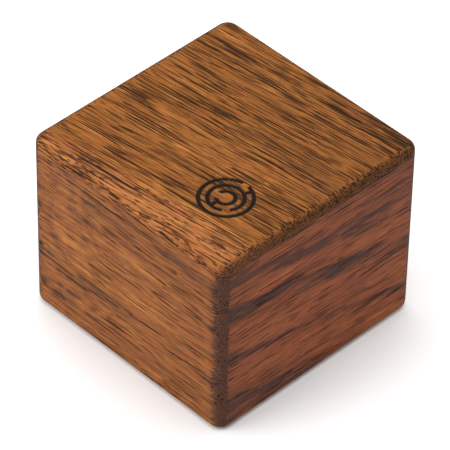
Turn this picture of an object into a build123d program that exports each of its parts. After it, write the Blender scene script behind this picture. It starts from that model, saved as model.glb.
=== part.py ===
from build123d import *
import os

# A small wooden puzzle box that opens when it is spun. Four loose steel pins lie
# in level bores, one behind each wall. Tilted any way, at least one pin slides in
# over the keeper plate under the lid and holds it. Spun on a table, all four pins
# are thrown outward and the lid lifts off.
# Millimetres, +Z up, origin at the middle of the underside. The front wall faces -Y.
# The pins are drawn thrown out, with the lid down.

# ---- driving dimensions: the outside of the box ----
box_side = 75.0            # outside width and depth
box_height = 60.4          # table to lid top
corner_radius = 3.9        # rounding of the four upright edges
bottom_round = 2.5         # rounding round the foot of the walls
lid_thick = 3.25           # the lid slab
lid_round = 2.75           # quarter-round along the lid's top edges
seam_gap = 0.1             # between the lid and the tops of the walls

# ---- driving dimensions: the case ----
wall_thick = 7.0
lap_thick = 2.8            # tongue of the front and back walls that covers a side wall's end
base_thick = 5.0           # bottom panel
rebate_depth = 3.5         # how far the bottom panel is let into the walls
rebate_radius = 3.0
post_side = 10.0           # square glue blocks in the inner corners
post_chamfer = 3.0
rail_width = 12.0          # rails that hold the pins
rail_height = 12.0

# ---- driving dimensions: the pins and their bores ----
pin_diameter = 5.0
nose_diameter = 3.4
running_clearance = 0.075  # radial, between pin and bore, and between nose and bush
bore_in_wall = 4.5         # blind part of the bore, behind the rail
bore_below_top = 4.6       # bore axis below the top of the walls
bush_diameter = 7.0
bush_length = 3.0
pin_stroke = 5.0           # thrown out to locked
pin_end_gap = 0.2          # free play at either end of the stroke
nose_recess = 0.5          # how far the nose sits inside the rail's face when thrown out
pin_end_chamfer = 0.4

# ---- driving dimensions: under the lid ----
spacer_side = 25.0
spacer_height = 6.8
keeper_clearance = 0.5     # keeper plate to the faces of the rails
keeper_thick = 3.0
keeper_corner = 2.0
screw_diameter = 2.4
screw_head = 4.4
screw_hole_clearance = 0.05
screw_spacing = 15.0
screw_in_lid = 2.0         # thread length inside the lid slab
screw_slot = (2.6, 0.6)    # cross recess, length and width of one arm
screw_slot_depth = 0.7

# ---- driving dimensions: the round labyrinth burnt into the lid ----
mark_centre = (17.25, -16.6)
mark_line = 1.1            # line width
mark_depth = 0.3
mark_radii = (7.45, 5.0, 2.55)        # centre lines of the three rings
mark_gap_angles = (90.0, 315.0, 200.0)  # where each ring is open
mark_gap = 2.2
mark_bar_angles = (65.0, 260.0)       # bars that join one ring to the next

# ---- worked out from the driving dimensions ----
half = box_side / 2
inner_half = half - wall_thick
wall_top = box_height - lid_thick - seam_gap
lid_underside = box_height - lid_thick
rail_underside = wall_top - rail_height
opening_half = inner_half - rail_width
bore_axis = wall_top - bore_below_top
bore_radius = pin_diameter / 2 + running_clearance
bush_hole_radius = nose_diameter / 2 + running_clearance
bore_end = inner_half + bore_in_wall
bush_outer_face = opening_half + bush_length
pin_back = bore_end - pin_end_gap
pin_body_length = pin_back - bush_outer_face - pin_stroke - pin_end_gap
pin_length = pin_back - opening_half - nose_recess
spacer_underside = lid_underside - spacer_height
keeper_underside = spacer_underside - keeper_thick
keeper_side = 2 * (opening_half - keeper_clearance)
screw_length = keeper_thick + spacer_height + screw_in_lid
screw_head_depth = (screw_head - screw_diameter) / 2
screw_hole_radius = screw_diameter / 2 + screw_hole_clearance

SIDES = {"front": -90, "right": 0, "back": 90, "left": 180}
CORNERS = {"front_left": (-1, -1), "front_right": (1, -1), "back_right": (1, 1), "back_left": (-1, 1)}

os.makedirs("parts", exist_ok=True)


def save(piece, name):
    """Label a finished piece and write it to its own STEP file."""
    piece.label = name
    export_step(piece, f"parts/{name}.step")


def side_plane(side, distance, height=0.0):
    """A plane across one side of the box, facing out, with its own y axis up."""
    outward = Vector(1, 0, 0).rotate(Axis.Z, SIDES[side])
    across = outward.rotate(Axis.Z, 90)
    return Plane(origin=outward * distance + Vector(0, 0, height), x_dir=across, z_dir=outward)


def plan_plane(side, height=0.0):
    """A level plane whose x axis points out through one side of the box."""
    return Plane(origin=(0, 0, height), x_dir=Vector(1, 0, 0).rotate(Axis.Z, SIDES[side]), z_dir=(0, 0, 1))


def underside_plane(height):
    """A level plane that faces down, for holes drilled up from below."""
    return Plane(origin=(0, 0, height), x_dir=(1, 0, 0), z_dir=(0, 0, -1))


# ---- the outside of the glued-up case, which every wall is sanded down to ----
with BuildPart() as case_outline:
    with BuildSketch(Plane.XY):
        RectangleRounded(box_side, box_side, corner_radius)
    extrude(amount=wall_top)
    fillet(case_outline.faces().sort_by(Axis.Z)[0].edges(), bottom_round)


# ---- walls: the front and back run full width, with a thin tongue at each end
# ---- that covers the end of a side wall; all four are rebated for the bottom panel
for side in SIDES:
    full_width = side in ("front", "back")
    with BuildPart() as wall:
        with BuildSketch(plan_plane(side)):
            with Locations((half - wall_thick / 2, 0)):
                Rectangle(wall_thick, box_side if full_width else box_side - 2 * lap_thick)
            if full_width:
                with Locations(*[(half - lap_thick, end * (half - wall_thick / 2)) for end in (-1, 1)]):
                    Rectangle(wall_thick, wall_thick, align=(Align.MAX, Align.CENTER), mode=Mode.SUBTRACT)
        extrude(amount=wall_top)
        with BuildSketch(Plane.XY):
            RectangleRounded(2 * (half - rebate_depth), 2 * (half - rebate_depth), rebate_radius)
        extrude(amount=base_thick, mode=Mode.SUBTRACT)
        with BuildSketch(side_plane(side, inner_half, bore_axis)):
            Circle(bore_radius)
        extrude(amount=bore_in_wall, mode=Mode.SUBTRACT)
        add(case_outline.part, mode=Mode.INTERSECT)
    save(wall.part, f"{side}_wall")

# ---- bottom panel, let into the walls and flush underneath ----
with BuildPart() as base_panel:
    with BuildSketch(Plane.XY):
        RectangleRounded(2 * (half - rebate_depth), 2 * (half - rebate_depth), rebate_radius)
    extrude(amount=base_thick)
save(base_panel.part, "base_panel")

# ---- corner posts: glue blocks that also carry the rails ----
for corner, (sign_x, sign_y) in CORNERS.items():
    post_x = sign_x * (inner_half - post_side / 2)
    post_y = sign_y * (inner_half - post_side / 2)
    with BuildPart() as corner_post:
        with BuildSketch(Plane.XY.offset(base_thick)):
            with Locations((post_x, post_y)):
                Rectangle(post_side, post_side)
        extrude(amount=rail_underside - base_thick)
        inner_edge = corner_post.edges().filter_by(Axis.Z).sort_by(lambda edge: edge.center().X * sign_x
                                                                  + edge.center().Y * sign_y)[0]
        chamfer(inner_edge, post_chamfer)
    save(corner_post.part, f"corner_post_{corner}")

# ---- lock rails: one along each wall, bored for its pin and counterbored for its bush ----
for side in SIDES:
    rail_length = 2 * (inner_half if side in ("front", "back") else opening_half)
    with BuildPart() as lock_rail:
        with BuildSketch(side_plane(side, opening_half, wall_top - rail_height / 2)):
            Rectangle(rail_length, rail_height)
        extrude(amount=rail_width)
        with BuildSketch(side_plane(side, opening_half, bore_axis)):
            Circle(bush_diameter / 2)
        extrude(amount=bush_length, mode=Mode.SUBTRACT)
        with BuildSketch(side_plane(side, opening_half, bore_axis)):
            Circle(bore_radius)
        extrude(amount=rail_width, mode=Mode.SUBTRACT)
    save(lock_rail.part, f"lock_rail_{side}")

# ---- guide bushes: brass, pressed into the rails, each guiding a pin's nose ----
for side in SIDES:
    with BuildPart() as guide_bush:
        with BuildSketch(side_plane(side, opening_half, bore_axis)):
            Circle(bush_diameter / 2)
            Circle(bush_hole_radius, mode=Mode.SUBTRACT)
        extrude(amount=bush_length)
    save(guide_bush.part, f"guide_bush_{side}")

# ---- lock pins: steel, turned down to a nose at the inner end ----
for side in SIDES:
    with BuildPart() as lock_pin:
        with BuildSketch(side_plane(side, pin_back - pin_length, bore_axis)):
            Circle(nose_diameter / 2)
        extrude(amount=pin_length)
        with BuildSketch(side_plane(side, pin_back - pin_body_length, bore_axis)):
            Circle(pin_diameter / 2)
        extrude(amount=pin_body_length)
        along = Axis((0, 0, 0), side_plane(side, 0).z_dir)
        end_faces = lock_pin.faces().filter_by(GeomType.PLANE).sort_by(along)
        chamfer(end_faces[0].edges() + end_faces[-1].edges(), pin_end_chamfer)
    save(lock_pin.part, f"lock_pin_{side}")

# ---- lid slab: full size, quarter-round top edges, burnt labyrinth in one corner ----
with BuildPart() as lid_board:
    with BuildSketch(Plane.XY.offset(lid_underside)):
        RectangleRounded(box_side, box_side, corner_radius)
    extrude(amount=lid_thick)
    fillet(lid_board.faces().sort_by(Axis.Z)[-1].edges(), lid_round)
    with BuildSketch(Plane(origin=(*mark_centre, box_height))):
        for ring_radius in mark_radii:
            Circle(ring_radius + mark_line / 2)
            Circle(ring_radius - mark_line / 2, mode=Mode.SUBTRACT)
        for ring_radius, gap_angle in zip(mark_radii, mark_gap_angles):
            with PolarLocations(ring_radius, 1, start_angle=gap_angle):
                Rectangle(2 * mark_line, mark_gap, mode=Mode.SUBTRACT)
        for outer_radius, inner_radius, bar_angle in zip(mark_radii, mark_radii[1:], mark_bar_angles):
            with PolarLocations((outer_radius + inner_radius) / 2, 1, start_angle=bar_angle):
                Rectangle(outer_radius - inner_radius, mark_line)
    extrude(amount=-mark_depth, mode=Mode.SUBTRACT)
    with Locations(underside_plane(lid_underside)):
        with GridLocations(screw_spacing, screw_spacing, 2, 2):
            Hole(screw_hole_radius, depth=screw_in_lid)
save(lid_board.part, "lid_board")

# ---- lid spacer: the neck between the lid and the keeper plate ----
with BuildPart() as lid_spacer:
    with BuildSketch(Plane.XY.offset(spacer_underside)):
        Rectangle(spacer_side, spacer_side)
        with GridLocations(screw_spacing, screw_spacing, 2, 2):
            Circle(screw_hole_radius, mode=Mode.SUBTRACT)
    extrude(amount=spacer_height)
save(lid_spacer.part, "lid_spacer")

# ---- keeper plate: the pins' noses slide in above it ----
with BuildPart() as keeper_plate:
    with BuildSketch(Plane.XY.offset(keeper_underside)):
        RectangleRounded(keeper_side, keeper_side, keeper_corner)
    extrude(amount=keeper_thick)
    with Locations(underside_plane(keeper_underside)):
        with GridLocations(screw_spacing, screw_spacing, 2, 2):
            CounterSinkHole(screw_hole_radius, screw_head / 2 + screw_hole_clearance, counter_sink_angle=90)
save(keeper_plate.part, "keeper_plate")

# ---- keeper screws: four small countersunk wood screws, up through the plate and the neck ----
with BuildPart() as keeper_screws:
    with BuildSketch(Plane.XY.offset(keeper_underside)):
        with GridLocations(screw_spacing, screw_spacing, 2, 2):
            Circle(screw_diameter / 2)
    extrude(amount=screw_length)
    with BuildSketch(Plane.XY.offset(keeper_underside)):
        with GridLocations(screw_spacing, screw_spacing, 2, 2):
            Circle(screw_head / 2)
    extrude(amount=screw_head_depth, taper=45)
    with BuildSketch(Plane.XY.offset(keeper_underside)):
        with GridLocations(screw_spacing, screw_spacing, 2, 2):
            Rectangle(*screw_slot)
            Rectangle(*reversed(screw_slot))
    extrude(amount=screw_slot_depth, mode=Mode.SUBTRACT)
save(keeper_screws.part, "keeper_screws")
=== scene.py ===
import math

import bmesh
import bpy
import numpy as np
from mathutils import Matrix, Vector


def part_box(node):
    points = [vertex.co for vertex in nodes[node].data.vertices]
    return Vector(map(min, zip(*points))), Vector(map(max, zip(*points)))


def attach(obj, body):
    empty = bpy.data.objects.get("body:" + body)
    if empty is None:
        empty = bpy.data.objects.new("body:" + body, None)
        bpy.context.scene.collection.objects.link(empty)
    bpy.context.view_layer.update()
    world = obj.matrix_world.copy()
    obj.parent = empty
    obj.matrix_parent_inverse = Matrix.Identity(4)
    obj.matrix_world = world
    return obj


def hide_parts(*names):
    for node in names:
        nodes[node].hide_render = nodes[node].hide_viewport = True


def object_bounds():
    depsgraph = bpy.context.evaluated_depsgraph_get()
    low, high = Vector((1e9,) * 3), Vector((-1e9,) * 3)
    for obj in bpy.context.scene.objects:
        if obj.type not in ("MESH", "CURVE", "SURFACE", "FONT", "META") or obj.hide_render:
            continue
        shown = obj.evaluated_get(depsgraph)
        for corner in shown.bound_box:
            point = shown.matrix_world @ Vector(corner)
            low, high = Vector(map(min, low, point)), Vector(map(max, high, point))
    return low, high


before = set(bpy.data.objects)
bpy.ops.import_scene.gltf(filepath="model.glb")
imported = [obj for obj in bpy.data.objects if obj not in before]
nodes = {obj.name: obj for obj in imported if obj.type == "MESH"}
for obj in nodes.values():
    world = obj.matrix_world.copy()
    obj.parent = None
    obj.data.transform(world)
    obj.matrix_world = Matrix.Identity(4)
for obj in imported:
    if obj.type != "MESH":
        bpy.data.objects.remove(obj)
cad_low, cad_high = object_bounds()


# ---- Camera ----
# A long lens looking down on the front right corner of the box, so that the lid,
# the front wall and the right wall all show, with the near upright edge in the middle.
box_middle = (cad_low + cad_high) / 2
box_width = cad_high.x - cad_low.x
VIEW_AZIMUTH = math.radians(44.990)
VIEW_ELEVATION = math.radians(42.291)
VIEW_ROLL = math.radians(1.176)
VIEW_DISTANCE = 13.73 * box_width
VIEW_RIGHT = 0.0040 * box_width
VIEW_UP = -0.0143 * box_width
VIEW_LENS = 298.6
VIEW_SENSOR = 36.0

towards_camera = Vector((
    math.sin(VIEW_AZIMUTH) * math.cos(VIEW_ELEVATION),
    -math.cos(VIEW_AZIMUTH) * math.cos(VIEW_ELEVATION),
    math.sin(VIEW_ELEVATION),
))
level_right = Vector((math.cos(VIEW_AZIMUTH), math.sin(VIEW_AZIMUTH), 0.0))
level_up = towards_camera.cross(level_right)
camera_right = level_right * math.cos(VIEW_ROLL) + level_up * math.sin(VIEW_ROLL)
camera_up = level_up * math.cos(VIEW_ROLL) - level_right * math.sin(VIEW_ROLL)
camera_place = box_middle + towards_camera * VIEW_DISTANCE + camera_right * VIEW_RIGHT + camera_up * VIEW_UP

camera_data = bpy.data.cameras.new("view_camera")
camera_data.lens = VIEW_LENS
camera_data.sensor_width = VIEW_SENSOR
camera_data.clip_start = 0.05
camera_data.clip_end = 50.0
camera = bpy.data.objects.new("view_camera", camera_data)
bpy.context.scene.collection.objects.link(camera)
camera_axes = Matrix((camera_right, camera_up, towards_camera)).transposed()
camera.matrix_world = Matrix.Translation(camera_place) @ camera_axes.to_4x4()
bpy.context.scene.camera = camera


# ---- Floor and light ----
# A pale seamless floor, one large soft light high on the front left, a broad one
# overhead, and an even pale surround.
FLOOR_REACH = 6.0
FLOOR_COLOUR = (0.94, 0.94, 0.94, 1.0)
SURROUND_STRENGTH = 0.64
KEY_PLACE = Vector((-0.55, -0.95, 0.80))
KEY_SIZE = 0.9
KEY_WATTS = 7.5
TOP_PLACE = Vector((-0.10, 0.15, 1.3))
TOP_SIZE = 1.3
TOP_WATTS = 14.5

bpy.context.scene.view_settings.view_transform = "Standard"
bpy.context.scene.view_settings.look = "None"


def soft_light(name, place, size, watts):
    """A square area light at place, facing the middle of the box."""
    data = bpy.data.lights.new(name, "AREA")
    data.shape = "SQUARE"
    data.size = size
    data.energy = watts
    lamp = bpy.data.objects.new(name, data)
    bpy.context.scene.collection.objects.link(lamp)
    facing = (place - box_middle).to_track_quat("Z", "Y").to_matrix()
    lamp.matrix_world = Matrix.Translation(place) @ facing.to_4x4()


soft_light("key_light", KEY_PLACE, KEY_SIZE, KEY_WATTS)
soft_light("top_light", TOP_PLACE, TOP_SIZE, TOP_WATTS)

surround = bpy.data.worlds.new("surround")
surround.use_nodes = True
surround.node_tree.nodes["Background"].inputs["Color"].default_value = (1.0, 1.0, 1.0, 1.0)
surround.node_tree.nodes["Background"].inputs["Strength"].default_value = SURROUND_STRENGTH
bpy.context.scene.world = surround

floor_mesh = bpy.data.meshes.new("floor")
floor_signs = ((-1, -1), (1, -1), (1, 1), (-1, 1))
floor_mesh.from_pydata([(sx * FLOOR_REACH, sy * FLOOR_REACH, cad_low.z) for sx, sy in floor_signs],
                       [], [(0, 1, 2, 3)])
floor = bpy.data.objects.new("floor", floor_mesh)
bpy.context.scene.collection.objects.link(floor)
floor_paint = bpy.data.materials.new("floor_paint")
floor_paint.use_nodes = True
floor_shader = floor_paint.node_tree.nodes["Principled BSDF"]
floor_shader.inputs["Base Color"].default_value = FLOOR_COLOUR
floor_shader.inputs["Roughness"].default_value = 0.9
floor_shader.inputs["Specular IOR Level"].default_value = 0.0
floor_mesh.materials.append(floor_paint)


# ---- Bottom panel ----
# A flat hardwood board, 5 mm thick, let into a rebate round the feet of the walls and
# glued. All the box's wood is open-pored, with dark pores along the grain, so the wood's
# own pattern and the way its edges are sanded are made here, and used for every board.
UP = (0, 0, 1)
FLOAT, VECTOR, COLOUR = "NodeSocketFloat", "NodeSocketVector", "NodeSocketColor"
MM_PER_METRE = (1000.0, 1000.0, 1000.0)
OILED_SPECULAR = 0.06


def new_node(tree, kind, settings=(), **feeds):
    """Add a node, set its settings, and feed its inputs, by name or as i0, i1, with values or other outputs."""
    made = tree.nodes.new(kind)
    for key, value in dict(settings).items():
        setattr(made, key, value)
    for key, value in feeds.items():
        place = made.inputs[int(key[1:])] if key[1:].isdigit() else made.inputs[key.replace("_", " ")]
        if isinstance(value, bpy.types.NodeSocket):
            tree.links.new(value, place)
        else:
            place.default_value = value
    return made


def maths(tree, operation, first, second=0.0, third=0.0, clamp=False):
    """One sum on numbers."""
    return new_node(tree, "ShaderNodeMath", {"operation": operation, "use_clamp": clamp},
                    i0=first, i1=second, i2=third).outputs[0]


def spread(tree, value, low, high, out_low=0.0, out_high=1.0):
    """Carry value smoothly from low..high to out_low..out_high, and hold it at the ends."""
    return new_node(tree, "ShaderNodeMapRange", {"interpolation_type": "SMOOTHSTEP"}, Value=value,
                    From_Min=low, From_Max=high, To_Min=out_low, To_Max=out_high).outputs[0]


def vectors(tree, operation, first, second=(0.0, 0.0, 0.0), third=(0.0, 0.0, 0.0)):
    """One sum on vectors."""
    return new_node(tree, "ShaderNodeVectorMath", {"operation": operation}, i0=first, i1=second,
                    i2=third).outputs[0]


def dot(tree, first, second):
    """How far the first vector reaches along the second, when that has a length of one."""
    return new_node(tree, "ShaderNodeVectorMath", {"operation": "DOT_PRODUCT"}, i0=first, i1=second).outputs[1]


def resized(tree, vector, factor):
    """A vector or colour times one number."""
    return new_node(tree, "ShaderNodeVectorMath", {"operation": "SCALE"}, i0=vector, Scale=factor).outputs[0]


def in_cells(tree, place, cell):
    """A place in millimetres, counted in cells whose three sides measure cell."""
    return vectors(tree, "MULTIPLY", place, tuple(1 / side for side in cell))


def noise(tree, place, cell, detail=2.0, roughness=0.5, output="Fac"):
    """Fractal noise in cells whose three sides measure cell, in millimetres."""
    return new_node(tree, "ShaderNodeTexNoise", {"noise_dimensions": "3D"}, Vector=in_cells(tree, place, cell),
                    Scale=1.0, Detail=detail, Roughness=roughness).outputs[output]


def swing(tree, value, amount, start=0.0):
    """start, plus amount times how far a noise value is from its middle, 0.5."""
    return maths(tree, "MULTIPLY_ADD", maths(tree, "SUBTRACT", value, 0.5), amount, start)


def mixed(tree, factor, first, second):
    """Mix two colours."""
    return new_node(tree, "ShaderNodeMix", {"data_type": "RGBA"}, Factor=factor, i6=first, i7=second).outputs[2]


def place_in_mm(tree):
    """Where a point is on its piece, in millimetres."""
    return vectors(tree, "MULTIPLY", new_node(tree, "ShaderNodeTexCoord").outputs["Object"], MM_PER_METRE)


def new_group(name, inputs, outputs):
    """An empty shader node group, with its input and output nodes' sockets."""
    group = bpy.data.node_groups.new(name, "ShaderNodeTree")
    for label, kind, start in inputs:
        socket = group.interface.new_socket(label, in_out="INPUT", socket_type=kind)
        if start is not None:
            socket.default_value = start
    for label, kind in outputs:
        group.interface.new_socket(label, in_out="OUTPUT", socket_type=kind)
    return group, group.nodes.new("NodeGroupInput").outputs, group.nodes.new("NodeGroupOutput").inputs


# Place is millimetres along the grain, across it and through the board. Grain is the
# same, shifted by Offset, wandering gently from side to side, and curling where asked to.
WANDER_CELL, CURL_CELL = (42, 16, 16), (7.5, 5.5, 5.5)
grain_space, given, made = new_group(
    "grain_space",
    [("Along", VECTOR, (1, 0, 0)), ("Across", VECTOR, (0, 1, 0)), ("Through", VECTOR, (0, 0, 1)),
     ("Offset", VECTOR, (0, 0, 0)), ("Wander", FLOAT, 1.0), ("Curl", FLOAT, 0.0)],
    [("Grain", VECTOR), ("Place", VECTOR)])
tree = grain_space
at = place_in_mm(tree)
along, across, through = (dot(tree, at, given[axis]) for axis in ("Along", "Across", "Through"))
straight = new_node(tree, "ShaderNodeCombineXYZ", X=along, Y=across, Z=through).outputs[0]
bent = vectors(tree, "ADD", straight, given["Offset"])
for cell, amount in ((WANDER_CELL, "Wander"), (CURL_CELL, "Curl")):
    wave = noise(tree, bent, cell, 1.5, 0.45, "Color")
    push = resized(tree, vectors(tree, "SUBTRACT", wave, (0.5, 0.5, 0.5)), given[amount])
    bent = vectors(tree, "ADD", bent, vectors(tree, "MULTIPLY", push, (0.0, 1.0, 1.0)))
tree.links.new(bent, made["Grain"])
tree.links.new(straight, made["Place"])

# Open-pored hardwood: soft figure, patches, streaks and fibre, and dark pores. The pores
# are long thin tubes along the grain, so they are lines on long grain and dots on end grain.
# A cell is its length along the grain, its width and its depth, in millimetres.
FIGURE_CELL, PATCH_CELL, STREAK_CELL = (60, 3.6, 5.0), (11, 1.9, 2.2), (24, 0.60, 0.7)
FIBRE_CELL, TINT_CELL, CLUSTER_CELL = (5.0, 0.24, 0.26), (2.6, 0.8, 0.8), (26, 2.0, 2.6)
LONG_PORE_CELL, SHORT_PORE_CELL, LINE_CELL = (32, 0.60, 0.60), (11, 0.52, 0.52), (16, 0.34, 0.34)
SHORT_PORE_SHIFT = (3.3, 0.37, 0.21)
PORE_REACH = 0.36
SHORT_PORE_REACH = 0.34
PATCH_SHARE = 0.4
TINT_SWING, TINT_START = (0.55, 0.60, 0.80), (0.725, 0.70, 0.60)
hardwood, given, made = new_group(
    "hardwood",
    [("Grain", VECTOR, None), ("Shade", FLOAT, 0.0), ("Figure", FLOAT, 0.5), ("Streaks", FLOAT, 0.5),
     ("Pores", FLOAT, 0.5), ("End Grain", VECTOR, (1, 0, 0)), ("End Shade", FLOAT, 0.5),
     ("Dark", COLOUR, (0.05, 0.02, 0.01, 1)), ("Middle", COLOUR, (0.2, 0.08, 0.03, 1)),
     ("Light", COLOUR, (0.35, 0.15, 0.05, 1)), ("Pore Colour", COLOUR, (0.022, 0.010, 0.005, 1))],
    [("Colour", COLOUR), ("Roughness", FLOAT), ("Height", FLOAT)])
tree = hardwood
grain = given["Grain"]
figure = noise(tree, grain, FIGURE_CELL, 3.0, 0.55)
patches = noise(tree, grain, PATCH_CELL, 3.0, 0.65)
streak = noise(tree, grain, STREAK_CELL, 2.0, 0.6)
fibre = noise(tree, grain, FIBRE_CELL, 2.0, 0.6)
tint = noise(tree, grain, TINT_CELL, 2.0, 0.7, "Color")
cluster = noise(tree, grain, CLUSTER_CELL)


def pore_layer(tree, grain, cell, reach):
    """Tubes along the grain, at most one to a cell and each of its own width: 1 inside a tube, 0 outside."""
    spot = new_node(tree, "ShaderNodeTexVoronoi", {"voronoi_dimensions": "3D", "feature": "F1"},
                    Vector=in_cells(tree, grain, cell), Scale=1.0, Randomness=1.0)
    own = new_node(tree, "ShaderNodeSeparateColor", Color=spot.outputs["Color"]).outputs[0]
    rim = maths(tree, "MULTIPLY", reach, maths(tree, "ADD", own, 0.55))
    return spread(tree, spot.outputs["Distance"], maths(tree, "MULTIPLY", rim, 0.7), rim, 1.0, 0.0)


reach = maths(tree, "MULTIPLY", given["Pores"], spread(tree, cluster, 0.32, 0.68, 0.65, 1.05))
reach = maths(tree, "MULTIPLY", reach, maths(tree, "MULTIPLY_ADD", given["Shade"], 0.5, 1.0))
long_pores = pore_layer(tree, grain, LONG_PORE_CELL, maths(tree, "MULTIPLY", reach, PORE_REACH))
short_pores = pore_layer(tree, vectors(tree, "ADD", grain, SHORT_PORE_SHIFT), SHORT_PORE_CELL,
                         maths(tree, "MULTIPLY", reach, SHORT_PORE_REACH))
lines = spread(tree, noise(tree, grain, LINE_CELL, 1.0), maths(tree, "MULTIPLY_ADD", reach, -0.10, 0.67),
               maths(tree, "MULTIPLY_ADD", reach, -0.10, 0.70))
pore_mask = maths(tree, "MAXIMUM", long_pores, maths(tree, "MULTIPLY", short_pores, 0.8))
pore_mask = maths(tree, "MAXIMUM", pore_mask, maths(tree, "MULTIPLY", lines, 0.95))

tone = swing(tree, figure, given["Figure"], 0.5)
tone = swing(tree, patches, maths(tree, "MULTIPLY", given["Figure"], PATCH_SHARE), tone)
tone = swing(tree, streak, given["Streaks"], tone)
tone = maths(tree, "SUBTRACT", tone, given["Shade"], clamp=True)
low_half = mixed(tree, spread(tree, tone, 0.0, 0.5), given["Dark"], given["Middle"])
timber = mixed(tree, spread(tree, tone, 0.5, 1.0), low_half, given["Light"])
timber = vectors(tree, "MULTIPLY", timber, vectors(tree, "MULTIPLY_ADD", tint, TINT_SWING, TINT_START))
timber = resized(tree, timber, spread(tree, fibre, 0.25, 0.75, 0.74, 1.24))
facing = new_node(tree, "ShaderNodeTexCoord").outputs["Normal"]
end_on = spread(tree, maths(tree, "ABSOLUTE", dot(tree, facing, given["End Grain"])), 0.05, 0.75)
timber = mixed(tree, maths(tree, "MULTIPLY", end_on, given["End Shade"]), timber, given["Dark"])
timber = mixed(tree, maths(tree, "MULTIPLY", pore_mask, 0.97), timber, given["Pore Colour"])
tree.links.new(timber, made["Colour"])
tree.links.new(maths(tree, "MULTIPLY_ADD", pore_mask, 0.22, spread(tree, fibre, 0.2, 0.8, 0.52, 0.62)),
               made["Roughness"])
tree.links.new(maths(tree, "MULTIPLY_ADD", pore_mask, -1.0, maths(tree, "MULTIPLY", fibre, 0.2)),
               made["Height"])


def wood(name, along, across, offset, colours, wander=1.5, curl=0.0, shade=0.0, figure=0.8, streaks=0.8,
         pores=0.6, end_shade=0.5):
    """A board's finish. colours are its dark, middle and light. curl and shade are numbers, or functions that
    build one from the material's tree and its grain space."""
    finish = bpy.data.materials.new(name)
    finish.use_nodes = True
    tree = finish.node_tree
    shader = tree.nodes["Principled BSDF"]
    along = Vector(along).normalized()
    across = (Vector(across) - along * Vector(across).dot(along)).normalized()
    space = new_node(tree, "ShaderNodeGroup", {"node_tree": grain_space}, Along=along, Across=across,
                     Through=along.cross(across), Offset=offset, Wander=wander)
    timber = new_node(tree, "ShaderNodeGroup", {"node_tree": hardwood}, Grain=space.outputs["Grain"],
                      Figure=figure, Streaks=streaks, Pores=pores, End_Grain=along, End_Shade=end_shade,
                      Dark=(*colours[0], 1), Middle=(*colours[1], 1), Light=(*colours[2], 1))
    for value, place in ((curl, space.inputs["Curl"]), (shade, timber.inputs["Shade"])):
        if callable(value):
            tree.links.new(value(tree, space.outputs), place)
        else:
            place.default_value = value
    tree.links.new(timber.outputs["Colour"], shader.inputs["Base Color"])
    tree.links.new(timber.outputs["Roughness"], shader.inputs["Roughness"])
    bump = new_node(tree, "ShaderNodeBump", Height=timber.outputs["Height"], Strength=0.4, Distance=0.00012)
    tree.links.new(bump.outputs["Normal"], shader.inputs["Normal"])
    shader.inputs["Specular IOR Level"].default_value = OILED_SPECULAR
    return finish


def sanded(node_name, finish, body, arris=0.00015):
    """A machined wooden piece with its sharp edges taken off: the CAD shape with its doubles merged and its
    flats made whole, and every edge that turns by more than 40 degrees bevelled by arris metres."""
    node = nodes[node_name]
    shape = bmesh.new()
    shape.from_mesh(node.data)
    shape.transform(node.matrix_world)
    bmesh.ops.remove_doubles(shape, verts=shape.verts, dist=1e-6)
    bmesh.ops.dissolve_limit(shape, angle_limit=math.radians(0.5), verts=shape.verts, edges=shape.edges)
    shape.verts.index_update()
    mesh = bpy.data.meshes.new(f"{node_name}_sanded")
    mesh.from_pydata([tuple(vert.co) for vert in shape.verts], [],
                     [[vert.index for vert in face.verts] for face in shape.faces])
    shape.free()
    mesh.shade_smooth()
    mesh.set_sharp_from_angle(angle=math.radians(32))
    mesh.materials.append(finish)
    piece = bpy.data.objects.new(f"{node_name}_sanded", mesh)
    bpy.context.scene.collection.objects.link(piece)
    edge = piece.modifiers.new("arris", "BEVEL")
    edge.width = arris
    edge.segments = 2
    edge.limit_method = "ANGLE"
    edge.angle_limit = math.radians(40)
    edge.miter_outer = "MITER_ARC"
    edge.use_clamp_overlap = True
    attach(piece, body)
    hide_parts(node_name)
    return piece


INNER_COLOURS = ((0.085, 0.038, 0.018), (0.235, 0.105, 0.045), (0.37, 0.185, 0.085))
sanded("base_panel", wood("base_panel_wood", (1, 0.03, 0), (0, 1, 0), (11, 3, 7), INNER_COLOURS),
       "case")


# ---- Front and back walls ----
# Full-width boards with their grain level. Each end is cut back to a thin tongue that
# laps over the end of a side wall and is glued, so its end grain shows round the corner.
WALL_COLOURS = ((0.090, 0.039, 0.025), (0.286, 0.098, 0.029), (0.48, 0.188, 0.049))
# Each band is its height in millimetres and how much darker than the wood it is.
FRONT_LEVELS = ((0.0, 0.05), (4.0, 0.0), (10.0, 0.12), (14.0, 0.0), (20.0, 0.16), (23.0, 0.0), (28.0, -0.1),
                (33.5, -0.08), (37.5, 0.16), (40.5, -0.08), (44.0, 0.2), (47.0, 0.0), (51.5, 0.24),
                (54.0, 0.14), (57.0, 0.02))
RAGGED_CELL, GAP_CELL, BLOTCH_CELL = (10, 1.3, 1.6), (15, 3.0, 3.0), (4.5, 3.2, 3.2)
RAGGED_BY = 4.0
RAMP_LIFT = 0.2


def board_place(tree, space):
    """How far a point is along, across and through its board, in millimetres."""
    return new_node(tree, "ShaderNodeSeparateXYZ", Vector=space["Place"]).outputs


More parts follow.
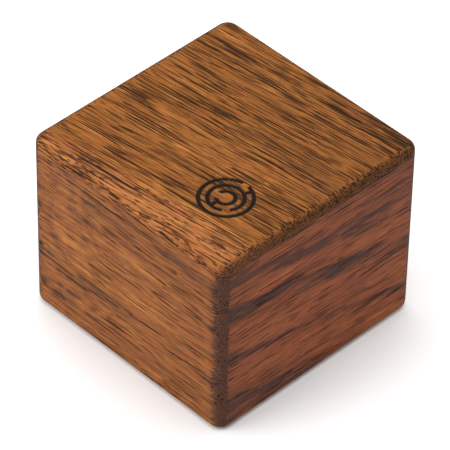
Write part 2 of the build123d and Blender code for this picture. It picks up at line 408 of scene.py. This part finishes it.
def level_bands(levels, slope=0.0, bend=0.0, broken=0.4):
    """Dark bands along a wall, at levels, which rise by slope times the distance along the wall plus bend
    times its square. Their edges are ragged, and in places they fade to broken of their strength."""
    lowest = levels[0][0]
    span = levels[-1][0] - lowest

    def build(tree, space):
        place = board_place(tree, space)
        rise = maths(tree, "MULTIPLY", place[0], maths(tree, "MULTIPLY_ADD", place[0], bend, slope))
        ragged = swing(tree, noise(tree, space["Grain"], RAGGED_CELL, 3.0, 0.6), RAGGED_BY)
        level = maths(tree, "ADD", maths(tree, "SUBTRACT", place[1], rise), ragged)
        ramp = new_node(tree, "ShaderNodeValToRGB",
                        Fac=maths(tree, "DIVIDE", maths(tree, "SUBTRACT", level, lowest), span))
        stops = ramp.color_ramp.elements
        ramp.color_ramp.interpolation = "EASE"
        stops.remove(stops[1])
        # A colour stop can't be negative, so the darkness is lifted here and lowered again after.
        for number, (height, dark) in enumerate(levels):
            position = (height - lowest) / span
            stop = stops.new(position) if number else stops[0]
            stop.position = position
            stop.color = (dark + RAMP_LIFT, dark + RAMP_LIFT, dark + RAMP_LIFT, 1)
        lifted = new_node(tree, "ShaderNodeSeparateColor", Color=ramp.outputs["Color"]).outputs[0]
        gaps = spread(tree, noise(tree, space["Grain"], GAP_CELL), 0.32, 0.62, broken, 1.0)
        return maths(tree, "MULTIPLY", maths(tree, "SUBTRACT", lifted, RAMP_LIFT), gaps)
    return build


def front_shade(tree, space):
    """The front wall's bands, darker over the last few millimetres at each end, and blotches at the left, where
    the grain curls.
    """
    along = board_place(tree, space)[0]
    blotch = spread(tree, noise(tree, space["Grain"], BLOTCH_CELL, 3.0, 0.6), 0.36, 0.70, -0.12, 0.24)
    blotch = maths(tree, "MULTIPLY", blotch, spread(tree, along, -20.0, -4.0, 1.0, 0.1))
    ends = spread(tree, maths(tree, "ABSOLUTE", along), 32.0, 36.5, 0.0, 0.4)
    return maths(tree, "ADD", maths(tree, "ADD", level_bands(FRONT_LEVELS)(tree, space), blotch), ends)


def curl_at_left(tree, space):
    """Grain that curls more and more towards the left end of the front wall."""
    return spread(tree, board_place(tree, space)[0], -24.0, 2.0, 4.5, 0.5)


sanded("front_wall", wood("front_wall_wood", (1, 0, 0.01), UP, (31, 9, 2), WALL_COLOURS, wander=2.4,
                          curl=curl_at_left, shade=front_shade, figure=0.85, streaks=1.3, pores=0.70,
                          end_shade=1.0), "case")
sanded("back_wall", wood("back_wall_wood", (-1, 0, 0.02), UP, (77, 5, 12), WALL_COLOURS, wander=2.4, curl=0.8,
                         shade=level_bands(FRONT_LEVELS, slope=0.05), figure=0.85, streaks=1.3, pores=0.70,
                         end_shade=1.0), "case")


# ---- Left and right walls ----
# Shorter boards, glued between the tongues. They are cut from redder stock, with dark heart bands that run
# downhill towards the back.
# Their colours are darker than the front wall's partly as painted shade, standing in for the key light reaching
# the right side less.
# Redder than the front wall's colours, and darker partly as painted shade on the side walls.
SIDE_STOCK_AND_SHADE_COLOURS = ((0.074, 0.033, 0.025), (0.236, 0.068, 0.029), (0.41, 0.127, 0.043))
RIGHT_LEVELS = ((-8.0, 0.3), (-4.0, 0.3), (2.0, 0.36), (6.5, 0.12), (11.5, -0.04), (16.0, 0.04), (19.0, 0.34),
                (20.6, 0.04), (25.0, -0.08), (30.5, 0.02), (34.0, 0.48), (36.6, 0.48), (38.6, 0.04),
                (42.5, -0.02), (46.0, 0.38), (49.5, 0.3), (52.0, 0.08), (56.0, 0.24), (64.0, 0.16))


def right_shade(tree, space):
    """The right wall's bands, and the few millimetres at the front joint that glue and oil have darkened."""
    bands = level_bands(RIGHT_LEVELS, slope=-0.2, bend=-0.0008)(tree, space)
    return maths(tree, "ADD", bands, spread(tree, board_place(tree, space)[0], -35.0, -26.0, 0.14, 0.0))


sanded("right_wall", wood("right_wall_wood", (0, 1, -0.03), UP, (5, 44, 3), SIDE_STOCK_AND_SHADE_COLOURS, wander=1.6, curl=0.5,
                          shade=right_shade, figure=0.85, streaks=1.0, pores=0.64), "case")
sanded("left_wall", wood("left_wall_wood", (0, -1, 0.02), UP, (50, 4, 31), SIDE_STOCK_AND_SHADE_COLOURS, wander=1.6, curl=0.5,
                         shade=level_bands(RIGHT_LEVELS, slope=0.15), figure=1.0, streaks=1.0, pores=0.64),
       "case")


# ---- Corner posts ----
# Glue blocks with their grain upright, one in each inner corner, with the inner edge
# planed off. The lock rails rest on them.
for number, corner in enumerate(("front_left", "front_right", "back_right", "back_left")):
    finish = wood(f"corner_post_{corner}_wood", UP, (1, 0, 0), (7 + 13 * number, 2, 5 * number), INNER_COLOURS)
    sanded(f"corner_post_{corner}", finish, "case", arris=0.0003)


# ---- Lock rails ----
# Square rails glued inside the tops of the walls, each bored level through its middle
# for a lock pin. The front and back rails run full width, and the others fit between.
ALONG_X, ALONG_Y = (1, 0, 0), (0, 1, 0)
RAILS = {"front": ALONG_X, "back": ALONG_X, "left": ALONG_Y, "right": ALONG_Y}
for number, (side, along) in enumerate(RAILS.items()):
    finish = wood(f"lock_rail_{side}_wood", along, UP, (9 + 31 * number, 4, 15), INNER_COLOURS)
    sanded(f"lock_rail_{side}", finish, "case", arris=0.0002)


# ---- Guide bushes ----
# Turned brass bushes, pressed into the rails' inner ends to guide the pins' noses. Metal
# that was cut on a lathe has fine rings round its axis, and clouds a little with handling.
MM = 0.001
BRASS = (0.72, 0.50, 0.20)
BORES = {"front": ALONG_Y, "back": ALONG_Y, "left": ALONG_X, "right": ALONG_X}
RING_CELL = (1 / 9, 1 / 9, 1 / 9)
SMEAR_CELL = (1 / 0.9, 1 / 0.9, 1 / 0.9)
# Rings are noise on the distance from the axis and the place along it. Fold brings all
# four quarters of a piece onto one centre, for like parts placed round the box's middle.
turned, given, made = new_group(
    "turned",
    [("Centre", VECTOR, (0, 0, 0)), ("Axis", VECTOR, (0, 0, 1)), ("Fold", FLOAT, 0.0)],
    [("Tone", FLOAT), ("Roughness", FLOAT), ("Height", FLOAT)])
tree = turned
at = place_in_mm(tree)
folded = new_node(tree, "ShaderNodeMix", {"data_type": "VECTOR"}, Factor=given["Fold"], i4=at,
                  i5=vectors(tree, "ABSOLUTE", at)).outputs[1]
arm = vectors(tree, "SUBTRACT", folded, given["Centre"])
along_axis = dot(tree, arm, given["Axis"])
radial = vectors(tree, "SUBTRACT", arm, resized(tree, given["Axis"], along_axis))
from_axis = new_node(tree, "ShaderNodeVectorMath", {"operation": "LENGTH"}, i0=radial).outputs[1]
ring_place = new_node(tree, "ShaderNodeCombineXYZ", X=from_axis, Y=along_axis).outputs[0]
rings = noise(tree, ring_place, RING_CELL, 3.0, 0.6)
smears = noise(tree, at, SMEAR_CELL, 3.0, 0.6)
tree.links.new(spread(tree, smears, 0.3, 0.7, 0.82, 1.06), made["Tone"])
tree.links.new(maths(tree, "MULTIPLY_ADD", rings, 0.18, maths(tree, "MULTIPLY", smears, 0.24)),
               made["Roughness"])
tree.links.new(rings, made["Height"])


def turned_metal(name, colour, centre, axis, fold=0.0):
    """The turned group as a metal finish, about an axis through centre, which is in millimetres."""
    finish = bpy.data.materials.new(name)
    finish.use_nodes = True
    tree = finish.node_tree
    shader = tree.nodes["Principled BSDF"]
    marks = new_node(tree, "ShaderNodeGroup", {"node_tree": turned}, Centre=centre, Axis=axis, Fold=fold)
    tree.links.new(resized(tree, colour, marks.outputs["Tone"]), shader.inputs["Base Color"])
    tree.links.new(maths(tree, "ADD", marks.outputs["Roughness"], 0.1), shader.inputs["Roughness"])
    bump = new_node(tree, "ShaderNodeBump", Height=marks.outputs["Height"], Strength=0.25, Distance=0.00003)
    tree.links.new(bump.outputs["Normal"], shader.inputs["Normal"])
    shader.inputs["Metallic"].default_value = 1.0
    return finish


def refinish(node_name, finish):
    """Give a CAD node a better material, and leave its shape as it is."""
    nodes[node_name].data.materials.clear()
    nodes[node_name].data.materials.append(finish)


def bore_centre(side):
    """A point in millimetres on the axis that a rail's bush and pin share, level with the box's middle."""
    low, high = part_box(f"guide_bush_{side}")
    axis = Vector(BORES[side])
    middle = (low + high) / 2 / MM
    return middle - axis * middle.dot(axis)


for side, axis in BORES.items():
    refinish(f"guide_bush_{side}", turned_metal(f"guide_bush_{side}_metal", BRASS, bore_centre(side), axis))


# ---- Lock pins ----
# Bar steel, turned down to a nose at the inner end. The pins are loose in the rails and
# bushes, so that they slide by their own weight as the box tips.
STEEL = (0.50, 0.50, 0.51)
for side, axis in BORES.items():
    refinish(f"lock_pin_{side}", turned_metal(f"lock_pin_{side}_metal", STEEL, bore_centre(side), axis))


# ---- Lid slab ----
# A slab of golden-brown wood, its grain a little out of line with its front edge. The top
# edges are rounded over, a round labyrinth is burnt into one corner, and screws hold the
# neck and the keeper plate to its underside.
LID_COLOURS = ((0.090, 0.036, 0.014), (0.250, 0.086, 0.018), (0.43, 0.170, 0.040))
# The front edge strip's tint: partly the wood's own colour, partly painted light.
FRONT_STRIP_PAINTED_LIGHT_TINT = (1.20, 1.17, 1.50)
DASH_COLOUR = (0.050, 0.022, 0.012, 1)
SCORCH_COLOUR = (0.10, 0.05, 0.02, 1)
CHAR_COLOURS = ((0.006, 0.004, 0.003, 1), (0.020, 0.012, 0.008, 1))
STRIP_CELL, DASH_CELL, CHAR_CELL = (9, 2.0, 2.0), (3.4, 0.9, 0.9), (0.25, 0.25, 0.25)
DASH_SHIFT = (1.7, 0.2, 0.4)
CORNER_RADIUS = 3.9 * MM
CORNER_STEPS = 24
SIDE_STEPS = 104
LID_ROUND = 2.75 * MM
LEAD_IN = 3.85 * MM
ROUND_POWER = 3.4
LID_ARRIS = 0.15 * MM
ARRIS_MIDDLE = 0.04 * MM
MARK_PLACE = np.array([17.25, -16.6]) * MM
MARK_RINGS = np.array([7.45, 5.0, 2.55]) * MM
MARK_GAPS = np.radians([90.0, 315.0, 200.0])
MARK_BARS = np.radians([65.0, 260.0])
MARK_LINE = 1.1 * MM
MARK_GAP = 2.2 * MM
MARK_DEPTH = 0.3 * MM
BURN_SLOPE = 0.16 * MM
BURN_WANDER = 0.05 * MM
CHAR_LUMP = 0.02 * MM
SCORCH_REACH = 0.55 * MM
lid_low, lid_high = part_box("lid_board")
half_side = (lid_high.x - lid_low.x) / 2


def lid_outline():
    """Once round the slab from the front end of its right side: for each step, a point on the square through
    the centres of the corner arcs, and the outward direction. The outline is the point plus the corner radius
    times the direction. Along a side only the point moves, and round a corner only the direction turns."""
    inner = half_side - CORNER_RADIUS
    run = np.linspace(-inner, inner, SIDE_STEPS, endpoint=False)
    turn = np.linspace(0, np.pi / 2, CORNER_STEPS, endpoint=False)
    points, ways = [], []
    for quarter in range(4):
        cosine, sine = np.cos(quarter * np.pi / 2), np.sin(quarter * np.pi / 2)
        spin = np.array([[cosine, sine], [-sine, cosine]])
        points.append(np.column_stack([np.full(SIDE_STEPS, inner), run]) @ spin)
        ways.append(np.tile([1.0, 0.0], (SIDE_STEPS, 1)) @ spin)
        points.append(np.tile([inner, inner], (CORNER_STEPS, 1)) @ spin)
        ways.append(np.column_stack([np.cos(turn), np.sin(turn)]) @ spin)
    return np.concatenate(points), np.concatenate(ways)


def closed_skin(name, rings, start, end):
    """A closed surface through rings, where rings[k, i] is step i round ring k. Quads join each step of a ring
    to the same step of the next, and triangles close the first and last rings to the points start and end."""
    count, steps = rings.shape[:2]
    points = np.vstack([rings.reshape(-1, 3), start, end])
    ring = np.arange(count * steps).reshape(count, steps)
    after = np.roll(ring, -1, axis=1)
    quads = np.stack([ring[:-1], ring[1:], after[1:], after[:-1]], axis=-1).reshape(-1, 4)
    first = np.column_stack([np.full(steps, count * steps), ring[0], after[0]])
    last = np.column_stack([np.full(steps, count * steps + 1), after[-1], ring[-1]])
    mesh = bpy.data.meshes.new(name)
    mesh.from_pydata(points.tolist(), [], quads.tolist() + first.tolist() + last.tolist())
    mesh.shade_smooth()
    piece = bpy.data.objects.new(name, mesh)
    bpy.context.scene.collection.objects.link(piece)
    return piece, points


def from_burn(points):
    """Signed distance in metres from each point to the labyrinth's strokes, negative inside them. For a ring it
    is the difference between the distance from the middle and the ring's radius, less half a line, cut by a
    slot MARK_GAP wide. A bar is a box along its own direction, from one ring's radius to the next."""
    arm = points[:, :2] - MARK_PLACE
    from_middle = np.hypot(arm[:, 0], arm[:, 1])
    nearest = np.full(len(points), 1.0)
    for radius, gap in zip(MARK_RINGS, MARK_GAPS):
        outward = arm @ np.array([np.cos(gap), np.sin(gap)])
        sideways = np.abs(arm @ np.array([-np.sin(gap), np.cos(gap)]))
        band = np.abs(from_middle - radius) - MARK_LINE / 2
        opening = np.where(outward > 0, MARK_GAP / 2 - sideways, -1.0)
        nearest = np.minimum(nearest, np.maximum(band, opening))
    for outer, inner, angle in zip(MARK_RINGS, MARK_RINGS[1:], MARK_BARS):
        outward = arm @ np.array([np.cos(angle), np.sin(angle)])
        sideways = np.abs(arm @ np.array([-np.sin(angle), np.cos(angle)]))
        along_bar = np.abs(outward - (outer + inner) / 2) - (outer - inner) / 2
        nearest = np.minimum(nearest, np.maximum(along_bar, sideways - MARK_LINE / 2))
    return nearest


outline, outward = lid_outline()
steps = len(outline)
start_angle = math.atan2(outline[0, 1], outline[0, 0])
angles = start_angle + np.arange(steps) * 2 * np.pi / steps
circle = np.column_stack([np.cos(angles), np.sin(angles)])
# Flat top: circles round the mark, 0.13 mm apart where it is burnt, that swell into the outline.
mark_radii = np.concatenate([np.arange(0.2, 9.0, 0.13) * MM, [9.4 * MM]])
flats = MARK_PLACE + mark_radii[:, None, None] * circle
swell = (np.linspace(0, 1, 15)[1:] ** 0.9)[:, None, None]
flat_edge = outline + (CORNER_RADIUS - LEAD_IN) * outward
flats = np.concatenate([flats, flats[-1] * (1 - swell) + flat_edge * swell])
flats = np.dstack([flats, np.full(flats.shape[:2], lid_high.z)])
# Rounded edge, eased by sanding so that it leaves the flat gently. As u goes from 0 at the flat to 1 at the
# side, it falls by LID_ROUND times (1 less the root of (1 less u to the power 3.4)). An arris ends the side.
fall = np.sin(np.linspace(0, np.pi / 2, 20)[1:])
insets = np.concatenate([LEAD_IN * (1 - fall), [0.0, ARRIS_MIDDLE, LID_ARRIS]])
heights = np.concatenate([lid_high.z - LID_ROUND * (1 - np.sqrt(np.maximum(1 - fall ** ROUND_POWER, 0.0))),
                          [lid_low.z + LID_ARRIS, lid_low.z + ARRIS_MIDDLE, lid_low.z]])
rim = outline + (CORNER_RADIUS - insets)[:, None, None] * outward
rim = np.dstack([rim, np.repeat(heights[:, None], steps, axis=1)])
shrink = np.array([0.97, 0.75, 0.4, 0.1])[:, None, None]
under = np.dstack([rim[-1][:, :2] * shrink, np.full((4, steps), lid_low.z)])
lid_slab, lid_points = closed_skin("lid_slab", np.concatenate([flats, rim, under]),
                                   (*MARK_PLACE, lid_high.z), (0.0, 0.0, lid_low.z))
# The burn: full depth inside a stroke, with slightly soft, uneven edges and a charred, lumpy floor.
on_top = lid_points[:, 2] > lid_high.z - 0.001 * MM
waver = np.sin(lid_points[:, 0] * 9000) * np.sin(lid_points[:, 1] * 7000)
reach = from_burn(lid_points) + BURN_WANDER * waver
burn = np.where(on_top, np.clip(0.5 - reach / BURN_SLOPE, 0, 1), 0.0)
burn = burn * burn * (3 - 2 * burn)
scorch = np.where(on_top, np.clip(1 - reach / SCORCH_REACH, 0, 1), 0.0)
lumps = np.random.default_rng(7).normal(0, CHAR_LUMP, len(lid_points))
lid_points[:, 2] -= burn * (MARK_DEPTH + np.clip(lumps, -2.5 * CHAR_LUMP, 2.5 * CHAR_LUMP))
lid_slab.data.vertices.foreach_set("co", lid_points.ravel())
for label, values in (("burn", burn), ("scorch", scorch)):
    held = lid_slab.data.attributes.new(label, "FLOAT", "POINT")
    held.data.foreach_set("value", values.astype(np.float32))
lid_slab.data.update()


def lid_tone(tree, space):
    """A little lighter in the front third, and darker towards the back right corner."""
    place = board_place(tree, space)
    front = spread(tree, place[1], -30.0, -16.0, -0.08, 0.0)
    diagonal = maths(tree, "ADD", place[0], place[1])
    return maths(tree, "ADD", front, spread(tree, diagonal, -20.0, 45.0, -0.03, 0.12))


def attribute(tree, label):
    """A value that the mesh holds at each point."""
    return new_node(tree, "ShaderNodeAttribute", {"attribute_name": label}).outputs["Fac"]


lid_wood = wood("lid_wood", (1, 0.10, 0.0), (0, 1, 0), (13, 21, 6), LID_COLOURS, wander=1.6, curl=0.3,
                shade=lid_tone, figure=0.85, streaks=1.0, pores=1.08, end_shade=0.8)
tree = lid_wood.node_tree
shader = tree.nodes["Principled BSDF"]
plain = shader.inputs["Base Color"].links[0].from_socket
# A paler, pinker strip runs along the front edge. It is partly the wood's own colour where the round-over cuts
# across the grain, partly painted light where the key light falls on the front edge. Its pores show as short
# dashes.
space = next(node for node in tree.nodes if node.type == "GROUP" and node.node_tree == grain_space).outputs
ragged = noise(tree, space["Grain"], STRIP_CELL, 3.0, 0.6)
from_front = maths(tree, "MULTIPLY_ADD", ragged, RAGGED_BY, board_place(tree, space)[1])
# Mask of the front strip, which is partly painted light on the front edge.
lit_front_strip = spread(tree, from_front, -27.8, -25.2, 1.0, 0.0)
dash_places = in_cells(tree, vectors(tree, "ADD", space["Grain"], DASH_SHIFT), DASH_CELL)
dashes = new_node(tree, "ShaderNodeTexVoronoi", Vector=dash_places, Scale=1.0).outputs["Distance"]
dashes = maths(tree, "MULTIPLY", spread(tree, dashes, 0.22, 0.34, 0.85, 0.0), lit_front_strip)
# The strip's lighter tint is partly painted light from the key light on the front edge, partly the wood's paler
# colour.
lit_strip_colour = mixed(tree, lit_front_strip, plain, vectors(tree, "MULTIPLY", plain, FRONT_STRIP_PAINTED_LIGHT_TINT))
dashed = mixed(tree, dashes, lit_strip_colour, DASH_COLOUR)
scorched = mixed(tree, maths(tree, "MULTIPLY", attribute(tree, "scorch"), 0.35), dashed, SCORCH_COLOUR)
char_tone = spread(tree, noise(tree, place_in_mm(tree), CHAR_CELL, 3.0, 0.6), 0.3, 0.7)
burnt = mixed(tree, attribute(tree, "burn"), scorched, mixed(tree, char_tone, *CHAR_COLOURS))
tree.links.new(burnt, shader.inputs["Base Color"])
lid_slab.data.materials.append(lid_wood)
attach(lid_slab, "lid")
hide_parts("lid_board")


# ---- Lid neck ----
# A square block of inner wood under the lid, which drops between the lock rails and
# holds the keeper plate at the pins' level. Screws go up through it into the lid.
sanded("lid_spacer", wood("lid_spacer_wood", ALONG_X, ALONG_Y, (3, 8, 21), INNER_COLOURS),
       "lid", arris=0.0002)


# ---- Keeper plate ----
# A thin plate of inner wood with rounded corners, wider than the neck. The pins' noses
# slide in above its edges, and hold it and the lid down.
sanded("keeper_plate", wood("keeper_plate_wood", ALONG_Y, ALONG_X, (19, 6, 2), INNER_COLOURS),
       "lid", arris=0.0003)


# ---- Keeper screws ----
# Four small countersunk steel wood screws with cross recesses, 7.5 mm out from the lid's
# middle both ways. They go up through the keeper plate and the neck into the lid.
refinish("keeper_screws", turned_metal("keeper_screw_steel", STEEL, (7.5, 7.5, 0.0), UP, fold=1.0))
